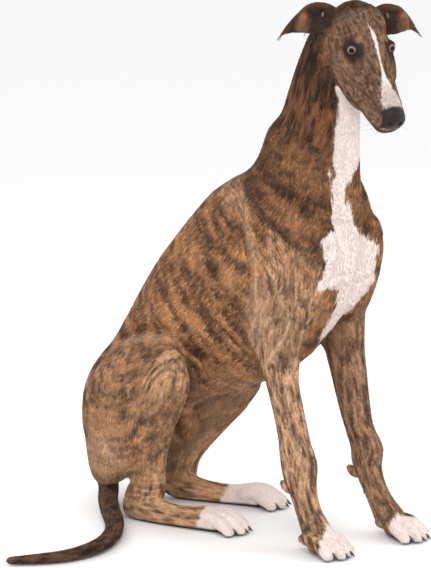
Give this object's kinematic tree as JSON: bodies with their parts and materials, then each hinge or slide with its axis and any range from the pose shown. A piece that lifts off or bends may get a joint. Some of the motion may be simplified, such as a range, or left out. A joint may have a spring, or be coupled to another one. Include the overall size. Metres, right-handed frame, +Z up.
{
  "type": "greyhound model",
  "caption": "Life-size still model of a brindle greyhound sitting on its haunches, head turned and bowed, tail laid on the floor.",
  "frame": {"origin": "middle of the model's outline in plan, at floor level", "axes": "+Z up; the dog's body faces -Y, and its left side is +X"},
  "size_m": [0.6454, 0.7378, 0.9923],
  "materials": {
    "coat": "short smooth fur, brindle with white",
    "nose": "moist grained skin",
    "eye": "clear and wet, amber iris",
    "claw": "dark horn"
  },
  "bodies": {
    "root": {"torso": "coat", "neck": "coat", "head": "coat", "nose": "nose", "ear_left": "coat", "ear_right": "coat", "eye_left": "eye", "eye_right": "eye", "forearm_left": "coat", "forearm_right": "coat", "fore_foot_left": "coat", "fore_foot_right": "coat", "thigh_left": "coat", "thigh_right": "coat", "shank_left": "coat", "shank_right": "coat", "hind_foot_left": "coat", "hind_foot_right": "coat", "tail_root": "coat", "tail_middle": "coat", "tail_tip": "coat", "claw_fore_left_outer": "claw", "claw_fore_left_third": "claw", "claw_fore_left_second": "claw", "claw_fore_left_inner": "claw", "claw_fore_left_dew": "claw", "claw_hind_left_outer": "claw", "claw_hind_left_third": "claw", "claw_hind_left_second": "claw", "claw_hind_left_inner": "claw", "claw_fore_right_outer": "claw", "claw_fore_right_third": "claw", "claw_fore_right_second": "claw", "claw_fore_right_inner": "claw", "claw_fore_right_dew": "claw", "claw_hind_right_outer": "claw", "claw_hind_right_third": "claw", "claw_hind_right_second": "claw", "claw_hind_right_inner": "claw"}
  },
  "joints": []
}
